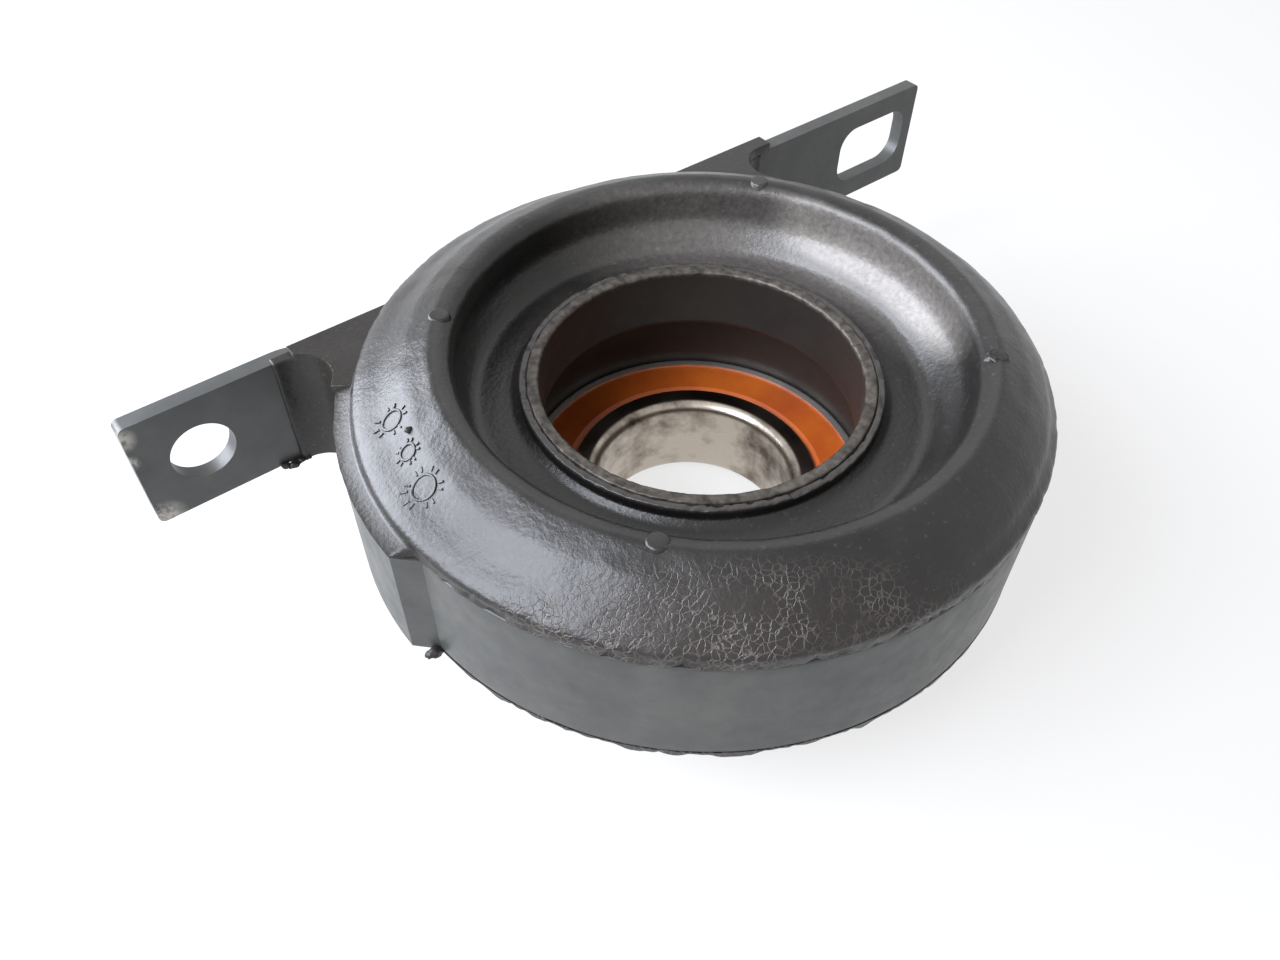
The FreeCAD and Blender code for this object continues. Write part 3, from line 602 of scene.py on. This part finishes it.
@dataclass
class Cushion:
    """The rubber ring between band and hub, with its pips, moulding marks, flash and lumps. Sizes in mm."""

    finishes: Finishes
    steps_round: int = 420
    pitch: float = 0.9
    # The section: radius, height and rounding of each corner.
    outline: tuple[tuple[float, float, float], ...] = (
        (28.6, 32.9, 0.3), (28.6, 22.58, 0), (33.0, 19.18, 0), (33.0, 0.8, 0.4), (36.0, 2.0, 0.8), (36.0, 22.0, 2.0),
        (40.5, 23.5, 4.0), (45.2, 30.5, 3.0), (45.2, 34.4, 2.3), (50.0, 34.4, 2.3), (50.5, 10.8, 1.0), (54.0, 10.8, 0),
        (54.0, 31.8, 0), (56.15, 31.8, 0.12), (56.15, 32.3, 0), (56.15, 32.95, 0), (56.15, 34.38, 1.3),
        (48.9, 39.97, 6.0), (44.2, 42.3, 2.0), (41.2, 41.2, 2.2), (41.2, 34.5, 4.0), (37.4, 29.5, 2.4),
        (31.2, 30.1, 1.6), (29.85, 31.0, 0.5), (29.85, 32.9, 0.35))
    # The cone between band and crest, as radius and height.
    cone_foot: Point = (56.15, 34.38)
    cone_top: Point = (48.9, 39.97)
    # The torn lip over the band, the chipped rim round the collar and the wavy crest.
    lip_reach: Point = (55.0, 57.0)
    lip_low: float = 31.7
    lip_most: float = 0.9
    rim_reach: float = 30.5
    rim_low: float = 31.0
    crest_reach: float = 41.0
    crest_low: float = 33.0
    # The thin film that runs out over the straps' legs: where it starts, fades and ends.
    film_start: Point = (53.9, 31.75)
    film_fade: Point = (33.1, 0.8)
    film_rise: float = 2.1
    film_reach: float = 56.35
    film_top: float = 33.2
    pip_angles: tuple[float, ...] = (38.3, 138.1, -140.5, -45.3)
    pip_reach: float = 43.8
    pip_radius: float = 1.8
    pip_low: float = 41.0
    pip_top: float = 42.2
    leg_start: float = -4.5
    leg_end: float = 42.0
    leg_thickness: float = 3.0
    # The crest's sideways set, and the height and radii over which it comes and goes: start and run.
    sag: Point = (1.2, -1.0)
    sag_low: Point = (31.0, 8.0)
    sag_inner: Point = (33.0, 6.0)
    sag_outer: Point = (56.2, 3.5)
    mark_half: float = 0.22
    mark_heights: Point = (-0.12, 0.16)
    # Angle, distance from the axis, radius and number of ticks of each mark.
    marks: tuple[tuple[float, float, float, int], ...] = (
        (161.0, 51.4, 1.7, 9), (169.5, 51.0, 1.3, 10), (177.5, 51.6, 1.9, 12))
    flash_steps: int = 500
    # Place and size of each lump; the last is a dull dot of painted shade that stands for a small pit in the cone.
    lumps: tuple[tuple[float, float, float, float], ...] = (
        (-57.6, 45.1, 9.9, 0.8), (-56.2, 44.8, 9.6, 1.0), (-54.9, 44.9, 9.7, 0.7), (-53.6, 44.8, 9.5, 0.6),
        (-57.0, -5.4, 10.2, 1.1), (-46.9, 11.1, 39.35, 0.55))

    def build(self) -> None:
        """Build the ring, the pips, the marks, the flash and the lumps."""
        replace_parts(self.ring(), "rubber_cushion")
        for number, angle in enumerate(self.pip_angles, 1):
            self.pip(number, angle)
        for number, mark in enumerate(self.marks, 1):
            self.mark(number, *mark)
        self.flash()
        for number, lump in enumerate(self.lumps, 1):
            self.lump(number, Vector(lump[:3]), lump[3])

    def ring(self) -> bpy.types.Object:
        """Turn the ring's section, with the moulding's waviness in its surface."""
        section = filleted([(r, z) for r, z, _ in self.outline], [f for _, _, f in self.outline], self.pitch)
        work = turned(section, self.steps_round, self.moulded)
        ring = finished(work, "moulded_cushion", self.finishes.rubber, Body.HOUSING, 65.0)
        ring.data.materials.append(self.finishes.web)
        for face in ring.data.polygons:
            film = face.center.xy.length > self.film_reach * MM and face.center.z < self.film_top * MM
            face.material_index = int(film)
        return ring

    def moulded(self, place: Vector) -> Vector:
        """Move a point as worn tooling and trimming leave it.

        Args:
            place: A point of the turned section.

        Returns:
            The point with the torn lip, the chipped rim, the wavy crest, the film over the legs and the sag.
        """
        reach = math.hypot(place.x, place.y)
        out = Vector((place.x, place.y, 0)).normalized()
        moved = place.copy()
        if self.lip_reach[0] < reach < self.lip_reach[1] and place.z > self.lip_low:
            lip = max(0.0, ragged(place, 2.6, 0.75, 3.0)) + max(0.0, ragged(place, 0.9, 0.35, 9.0))
            share = 1.0 if place.z < self.film_top else 0.35
            moved -= out * min(self.lip_most, lip) * share * (1 - 0.8 * self.over_leg(place))
        if reach < self.rim_reach and place.z > self.rim_low:
            moved.z += min(0.0, ragged(place, 1.7, 0.5, 5.0)) * (place.z - self.rim_low) / 1.9
        if place.z > self.crest_low and reach > self.crest_reach:
            moved.z -= abs(ragged(place, 9.0, 0.22, 1.0))
        if reach > self.film_start[0] and place.z > self.film_start[1]:
            low = clamped((self.film_fade[0] - place.z) / self.film_fade[1])
            rise = min(1.0, (reach - self.film_start[0]) / self.film_rise)
            moved += out * self.leg_thickness * self.over_leg(place) * low * rise
        return self.sagged(moved)

    def over_leg(self, place: Vector) -> float:
        """Return how far a place lies over a strap's leg, from 0 to 1."""
        angle = math.degrees(math.atan2(place.y, abs(place.x)))
        return min(clamped((angle - self.leg_start) / 2.5), clamped((self.leg_end - angle) / 6.0))

    def sagged(self, place: Vector) -> Vector:
        """Shift a point of the crest sideways, as the soft ring has set under its own weight."""
        reach = place.xy.length
        share = clamped((place.z - self.sag_low[0]) / self.sag_low[1])
        share *= clamped((reach - self.sag_inner[0]) / self.sag_inner[1])
        share *= clamped((self.sag_outer[0] - reach) / self.sag_outer[1])
        share *= share * (3 - 2 * share)
        return place + Vector((*self.sag, 0)) * share

    def mark(self, number: int, angle: float, reach: float, radius: float, ticks: int) -> None:
        """Raise one plain moulding mark, a ring with ticks, on the cone.

        Args:
            number: Which mark it is.
            angle: Its angle round the shaft axis in degrees.
            reach: Its distance from the axis.
            radius: The radius of its ring.
            ticks: How many ticks stand round the ring.
        """
        inner, outer = radius - self.mark_half, radius + self.mark_half
        low, high = self.mark_heights
        ring = filleted([(inner, low), (outer, low), (outer, high), (inner, high)], [0.0, 0.0, 0.12, 0.12], 0.1)
        work = turned(ring, 40)
        for tick in range(ticks):
            made = bmesh.ops.create_cube(work, size=1.0)["verts"]
            bmesh.ops.scale(work, vec=(radius * 0.45, 0.3, 0.28), verts=made)
            bmesh.ops.translate(work, vec=(radius * 1.5, 0, 0), verts=made)
            bmesh.ops.rotate(work, cent=(0, 0, 0), verts=made,
                             matrix=Matrix.Rotation(math.tau * (tick + 0.15 * (-1) ** tick) / ticks, 3, "Z"))
        (foot_reach, foot_height), (top_reach, top_height) = self.cone_foot, self.cone_top
        slope = math.atan2(top_height - foot_height, foot_reach - top_reach)
        height = foot_height + (foot_reach - reach) * math.tan(slope) - 0.05
        frame_of = (Matrix.Rotation(math.radians(angle), 4, "Z") @ Matrix.Translation((reach, 0, height))
                    @ Matrix.Rotation(slope, 4, "Y"))
        bmesh.ops.transform(work, matrix=frame_of, verts=work.verts)
        for vert in work.verts:
            vert.co = self.sagged(vert.co)
        finished(work, f"mould_mark_{number}", self.finishes.rubber, Body.HOUSING)

    def flash(self) -> None:
        """Leave the thin ragged flash that shows under the band's lower edge."""
        outline = filleted([(54.6, 9.2), (56.05, 9.2), (56.05, 9.85), (54.6, 9.85)], [0.2, 0.25, 0.0, 0.0], 0.5)
        work = turned(outline, self.flash_steps, self.torn)
        finished(work, "lower_flash", self.finishes.rubber, Body.HOUSING)

    def lump(self, number: int, place: Vector, size: float) -> None:
        """Leave one small lump of rubber where the mould leaked, or the dull dot of painted shade that stands for a
        pit.

        Args:
            number: Which lump it is.
            place: Its middle.
            size: Its radius before it is flattened.
        """
        work = bmesh.new()
        bmesh.ops.create_icosphere(work, subdivisions=3, radius=size)
        bmesh.ops.scale(work, vec=(1.2, 0.9, 0.7), verts=work.verts)
        bmesh.ops.translate(work, vec=place, verts=work.verts)
        for vert in work.verts:
            vert.co += (vert.co - place) * ragged(vert.co, 0.9, 0.45)
        finished(work, f"flash_lump_{number}", self.finishes.web, Body.HOUSING)

    def torn(self, place: Vector) -> Vector:
        """Move a point of the flash as tearing it off leaves it."""
        if place.z > 9.6:
            return place
        return place + Vector((0, 0, 1)) * (0.25 - abs(ragged(place, 5.0, 1.3, 6.0)) - abs(ragged(place, 1.3, 0.25)))

    def pip(self, number: int, angle: float) -> None:
        """Stand one moulding pip on the crest; the last one is a broken sprue stub.

        Args:
            number: Which pip it is.
            angle: Its angle round the shaft axis in degrees.
        """
        turn = math.radians(angle)
        work = bmesh.new()
        bmesh.ops.create_cone(work, cap_ends=True, segments=32, radius1=self.pip_radius * 1.12,
                              radius2=self.pip_radius * 0.9, depth=self.pip_top - self.pip_low)
        rim = [e for e in work.edges if all(v.co.z > 0 for v in e.verts)]
        bmesh.ops.bevel(work, geom=rim, offset=0.35, segments=3, profile=0.5, affect="EDGES", material=-1)
        middle = (self.pip_top + self.pip_low) / 2
        place = Vector((self.pip_reach * math.cos(turn), self.pip_reach * math.sin(turn), middle))
        bmesh.ops.translate(work, verts=work.verts, vec=self.sagged(place))
        if number == len(self.pip_angles):
            for vert in work.verts:
                vert.co += Vector((ragged(vert.co, 1.1, 0.25), ragged(vert.co, 1.1, 0.25, 4.0), 0))
                vert.co.z -= abs(ragged(vert.co, 0.9, 0.4, 2.0)) if vert.co.z > middle else 0
        finished(work, f"crest_pip_{number}", self.finishes.rubber, Body.HOUSING)


@dataclass(frozen=True)
class EarSide:
    """What differs between the two ears."""

    name: str
    node: str
    sign: int
    end: float
    skin_back: float
    skin_meets: float
    roof_top: float
    roof_turn: float
    roof_end: tuple[Point, Point]


@dataclass
class Ears:
    """The two bent straps that bolt the bearing up, and the rubber webs moulded over their bends."""

    finishes: Finishes
    low: float = 9.8
    high: float = 31.8
    sole: float = 9.3
    front: float = 45.5
    back: float = 48.5
    bend: Point = (53.607, 38.5)
    bend_inner: float = 7.0
    bend_outer: float = 10.0
    band: float = 56.0
    leg: float = 59.0
    # Where bend and leg meet, and the angles at which the leg ends and the strap meets the band.
    leg_touch: Point = (47.92, 34.42)
    leg_tip: float = -2.0
    leg_toe: float = -5.5
    band_touch: float = 35.7
    # The web: its skin inside the bend, its corner behind the ear, and its film over the leg.
    skin_radius: float = 6.2
    skin_end: float = 215.66
    fill_corner: Point = (54.507, 44.7)
    film: float = 59.8
    film_span: Point = (35.68, 33.99)
    root: float = 55.3
    rounding: float = 0.45
    hole_middle: Point = (-69.5, 20.8)
    hole_radius: float = 5.5
    slot_middle: Point = (90.5, 20.8)
    slot_size: Point = (20.5, 13.0)
    slot_corner: float = 4.5
    left: EarSide = EarSide("left", "left_bracket", -1, 80.4, 46.7, 30.90, 33.1, 114.8,
                            ((51.007, 44.129), (51.007, 46.7)))
    right: EarSide = EarSide("right", "right_bracket", 1, 103.7, 48.3, 28.34, 33.7, 90.0,
                             ((56.807, 44.7), (56.807, 48.3)))

    def build(self) -> None:
        """Build both straps and both webs."""
        for side in (self.left, self.right):
            self.strap(side)
            self.web(side)

    def strap_plan(self, side: EarSide) -> list[Point]:
        """Draw the strap as seen along the shaft axis.

        Args:
            side: The side that the strap is for.

        Returns:
            The outline's points, in order.
        """
        touch = math.degrees(math.atan2(self.leg_touch[1], self.leg_touch[0]))
        bend_start = self.bend_turn()
        plan: list[Point] = [(side.end, self.back), (side.end, self.front)]
        plan += arc_points(self.bend, self.bend_inner, 90.0, bend_start, 16)
        plan += arc_points((0, 0), self.leg, touch, self.leg_tip, 40)
        plan += arc_points((0, 0), self.band, self.leg_toe, self.band_touch, 40)
        plan += arc_points(self.bend, self.bend_outer, bend_start, 90.0, 20)
        return [(x * side.sign, y) for x, y in plan]

    def bend_turn(self) -> float:
        """Return the angle, about the bend's centre, of the touch with the leg's outer arc."""
        x, y = self.leg_touch
        return math.degrees(math.atan2(y - self.bend[1], x - self.bend[0])) % 360.0

    def strap(self, side: EarSide) -> None:
        """Build one bent strap with its opening."""
        work = raised(self.strap_plan(side), self.low, self.high, 0.0)
        ends = [e for e in work.edges
                if all(abs(abs(v.co.x) - side.end) < 0.01 for v in e.verts)
                and abs(e.verts[0].co.z - e.verts[1].co.z) < 0.01]
        bmesh.ops.bevel(work, geom=ends, offset=1.2, segments=6, profile=0.5, affect="EDGES", material=-1)
        strap = finished(work, f"{side.name}_strap", self.finishes.paint, Body.HOUSING, 50.0)
        self.opened(strap, self.opening(side))
        bevel = strap.modifiers.new("rims", "BEVEL")
        bevel.width, bevel.segments, bevel.limit_method = self.rounding * MM, 3, "ANGLE"
        bevel.angle_limit, bevel.harden_normals = math.radians(40), True
        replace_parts(strap, side.node)

    def opening(self, side: EarSide) -> bmesh.types.BMesh:
        """Make a cutter for a side's bolt opening.

        Args:
            side: The side that the opening is for.

        Returns:
            The cutter's bmesh, in millimetres.
        """
        cutter = bmesh.new()
        if side.sign < 0:
            x, z = self.hole_middle
            bmesh.ops.create_cone(cutter, cap_ends=True, segments=72, radius1=self.hole_radius,
                                  radius2=self.hole_radius, depth=12.0)
        else:
            x, z = self.slot_middle
            bmesh.ops.create_cube(cutter, size=1.0)
            bmesh.ops.scale(cutter, vec=(*self.slot_size, 12.0), verts=cutter.verts)
            uprights = [e for e in cutter.edges if abs(e.verts[0].co.z - e.verts[1].co.z) > 1.0]
            bmesh.ops.bevel(cutter, geom=uprights, offset=self.slot_corner, segments=12, profile=0.5,
                            affect="EDGES", material=-1)
        bmesh.ops.rotate(cutter, cent=(0, 0, 0), matrix=Matrix.Rotation(math.pi / 2, 3, "X"), verts=cutter.verts)
        bmesh.ops.translate(cutter, vec=(x, (self.front + self.back) / 2, z), verts=cutter.verts)
        return cutter

    def opened(self, strap: bpy.types.Object, cutter: bmesh.types.BMesh) -> None:
        """Cut the opening out of the strap and keep the result as the strap's own mesh.

        Args:
            strap: The strap's object.
            cutter: The opening's bmesh, in millimetres, freed here.
        """
        in_metres(cutter)
        mesh = bpy.data.meshes.new("cutter")
        cutter.to_mesh(mesh)
        cutter.free()
        tool = bpy.data.objects.new("cutter", mesh)
        bpy.context.scene.collection.objects.link(tool)
        cut = strap.modifiers.new("opening", "BOOLEAN")
        cut.operation, cut.object, cut.solver = "DIFFERENCE", tool, "EXACT"
        bpy.context.view_layer.update()
        made = bpy.data.meshes.new_from_object(strap.evaluated_get(bpy.context.evaluated_depsgraph_get()))
        strap.modifiers.clear()
        strap.data = made
        made.set_sharp_from_angle(angle=math.radians(50.0))
        bpy.data.objects.remove(tool)

    def web(self, side: EarSide) -> None:
        """Build one side's web: the fill behind the bend with its skin, and the roof over it.

        Args:
            side: The side that the web is for.
        """
        skin = arc_points(self.bend, self.skin_radius, 90.0, self.skin_end, 20)
        over = arc_points(self.bend, self.skin_radius, side.roof_turn, self.skin_end, 20)
        down = arc_points((0, 0), self.film, *self.film_span, 4)[1:]
        meets = math.degrees(math.atan2(side.skin_back, side.skin_meets))
        root = arc_points((0, 0), self.root, self.film_span[1], meets, 14)
        start = (side.skin_meets, side.skin_back)
        fill = [start, (self.fill_corner[0], side.skin_back), self.fill_corner, *skin, *down, *root]
        roof = [start, *side.roof_end[::-1], *over, *down, *root]
        for name, plan, low, high, rounding in (("fill", fill, self.sole, self.high + 0.4, 0.35),
                                                ("roof", roof, self.high - 0.6, side.roof_top, 0.55)):
            work = raised([(x * side.sign, y) for x, y in plan], low, high, rounding, 3)
            finished(work, f"{side.name}_web_{name}", self.finishes.web, Body.HOUSING, 50.0)


@dataclass
class Band:
    """The rolled steel band round the cushion."""

    finishes: Finishes
    inner: float = 54.0
    outer: float = 56.0
    low: float = 9.8
    high: float = 31.8
    rounding: float = 0.35
    steps_round: int = 400

    def build(self) -> None:
        """Build the band."""
        outline = filleted([(self.inner, self.low), (self.outer, self.low), (self.outer, self.high),
                            (self.inner, self.high)], [self.rounding] * 4, 1.6)
        work = turned(outline, self.steps_round, self.rolled)
        piece = finished(work, "steel_band", self.finishes.paint, Body.HOUSING, 60.0)
        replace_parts(piece, "band_ring")

    def rolled(self, place: Vector) -> Vector:
        """Move a point a little, as a sheared and rolled strip's lower edge runs."""
        share = max(0.0, (14.0 - place.z) / 4.0)
        return place + Vector((0, 0, 1)) * share * abs(ragged(place, 14.0, 0.35, 2.0))


@dataclass
class Hub:
    """The pressed steel sleeve that the cushion is bonded to and the bearing sits in."""

    finishes: Finishes
    steps_round: int = 360
    outline: tuple[tuple[float, float, float], ...] = (
        (31.0, -9.7, 0.3), (33.0, -9.7, 0.3), (33.0, 19.18, 1.6), (28.6, 22.58, 1.6), (28.6, 33.2, 0.35),
        (26.6, 33.2, 0.6), (26.6, 21.6, 1.6), (31.0, 18.2, 1.6))

    def build(self) -> None:
        """Build the sleeve."""
        section = filleted([(r, z) for r, z, _ in self.outline], [f for _, _, f in self.outline], 1.2)
        piece = finished(turned(section, self.steps_round, self.sheared), "pressed_sleeve", self.finishes.sleeve,
                         Body.HOUSING, 60.0)
        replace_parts(piece, "hub_sleeve")

    def sheared(self, place: Vector) -> Vector:
        """Lower the rim's points a little, as shearing leaves them."""
        if place.z < 32.6:
            return place
        return place - Vector((0, 0, 1)) * abs(ragged(place, 2.2, 0.35, 7.0))


@dataclass
class Bearing:
    """The deep-groove ball bearing, shown with the CAD model's own solids."""

    finishes: Finishes
    balls: int = 11

    def build(self) -> None:
        """Dress the bearing's solids."""
        finishes = self.finishes
        dress = {"bearing_outer_ring": finishes.ground, "bearing_inner_ring": finishes.race,
                 "upper_seal": finishes.seal, "lower_seal": finishes.seal, "cage_upper_half": finishes.cage,
                 "cage_lower_half": finishes.cage, "cage_rivets": finishes.cage}
        dress |= {f"ball_{number:02d}": finishes.ball for number in range(1, self.balls + 1)}
        for name, material in dress.items():
            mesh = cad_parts[name].data
            mesh.materials.clear()
            mesh.materials.append(material)
        LOG.info("bearing: %d solids dressed", len(dress))


@dataclass
class Studio:
    """Pale floor, white surroundings, soft lights and the camera at the photograph's angle."""

    floor_height: float = -9.75
    floor_width: float = 3000.0
    floor_glow: float = 0.75
    eye: Spot = (-88.3437, -94.4173, 148.6288)
    right: Spot = (0.78715148, -0.61666748, 0.0106661)
    up: Spot = (0.45131588, 0.58770136, 0.67150658)
    back: Spot = (-0.42036475, -0.52376362, 0.74092182)
    lens: float = 29.63
    lights: tuple[tuple[str, Spot, Point, float, str], ...] = (
        ("left window", (-480.0, 70.0, 450.0), (420.0, 400.0), 7.4, "#eef3ff"),
        ("back left window", (-370.0, 500.0, 220.0), (480.0, 400.0), 7.8, "#eef3ff"),
        ("back window", (273.0, 338.0, 481.0), (400.0, 400.0), 0.4, "#f6f8ff"),
        ("front fill", (-370.0, -530.0, 500.0), (600.0, 600.0), 0.55, "#fff8f2"))

    def build(self) -> None:
        """Build the floor, the surroundings, the lights and the camera."""
        self.floor()
        self.surroundings()
        for name, place, size, power, colour in self.lights:
            self.light(name, Vector(place), size, power, colour)
        self.camera()

    def floor(self) -> None:
        """Lay a sheet of matt paper: the eye reads an even white that keeps the part's soft shadow."""
        work = bmesh.new()
        bmesh.ops.create_grid(work, x_segments=1, y_segments=1, size=self.floor_width / 2)
        bmesh.ops.translate(work, vec=(0, 0, self.floor_height), verts=work.verts)
        in_metres(work)
        mesh = bpy.data.meshes.new("floor")
        work.to_mesh(mesh)
        work.free()
        material, tree, shader = new_material("white matt paper")
        set_inputs(tree, shader, {"Base Color": linear("#f4f4f4"), "Roughness": 0.9})
        glow = add_node(tree, "Emission", {"Color": (1, 1, 1, 1), "Strength": 1.0})
        share = add_node(tree, "Math", [backdrop_share(tree), self.floor_glow], operation="MULTIPLY")
        both = add_node(tree, "MixShader", [share, shader, glow])
        set_inputs(tree, tree.nodes["Material Output"], {"Surface": both})
        mesh.materials.append(material)
        piece = bpy.data.objects.new("floor", mesh)
        bpy.context.scene.collection.objects.link(piece)

    def surroundings(self) -> None:
        """Give the world one soft level for light, and plain white where it is seen, also in metal."""
        world = bpy.data.worlds.new("surroundings")
        world.use_nodes = True
        bpy.context.scene.world = world
        tree = world.node_tree
        tree.nodes.clear()
        soft = add_node(tree, "Background", {"Color": linear("#f4f2ee"), "Strength": 0.15})
        white = add_node(tree, "Background", {"Color": (1, 1, 1, 1), "Strength": 1.0})
        both = add_node(tree, "MixShader", [backdrop_share(tree), soft, white])
        add_node(tree, "OutputWorld", {"Surface": both})

    def light(self, name: str, place: Vector, size: Point, power: float, colour: str) -> None:
        """Hang one soft light that looks at the part.

        Args:
            name: The light's name.
            place: Where it hangs, in millimetres.
            size: Its width and height in millimetres.
            power: Its power in watts.
            colour: Its sRGB hex colour.
        """
        lamp = bpy.data.lights.new(name, "AREA")
        lamp.shape, lamp.size, lamp.size_y, lamp.energy = "RECTANGLE", size[0] * MM, size[1] * MM, power
        lamp.color = linear(colour)[:3]
        holder = bpy.data.objects.new(name, lamp)
        turn = (Vector((0, 0, 20)) - place).to_track_quat("-Z", "Y").to_matrix().to_4x4()
        holder.matrix_world = Matrix.Translation(place * MM) @ turn
        bpy.context.scene.collection.objects.link(holder)

    def camera(self) -> None:
        """Place the camera as in the photograph."""
        data = bpy.data.cameras.new("camera")
        data.lens, data.sensor_width, data.clip_start = self.lens, 36.0, 0.01
        holder = bpy.data.objects.new("camera", data)
        turn = Matrix((self.right, self.up, self.back)).transposed().to_4x4()
        holder.matrix_world = Matrix.Translation(Vector(self.eye) * MM) @ turn
        bpy.context.scene.collection.objects.link(holder)
        bpy.context.scene.camera = holder


def main() -> None:
    """Build every piece and the studio."""
    logging.basicConfig(level=logging.INFO, format="%(message)s")
    bpy.context.scene.view_settings.view_transform = "Standard"
    finishes = Finishes()
    for part in (Cushion(finishes), Ears(finishes), Band(finishes), Hub(finishes), Bearing(finishes), Studio()):
        part.build()


if __name__ == "__main__":
    main()
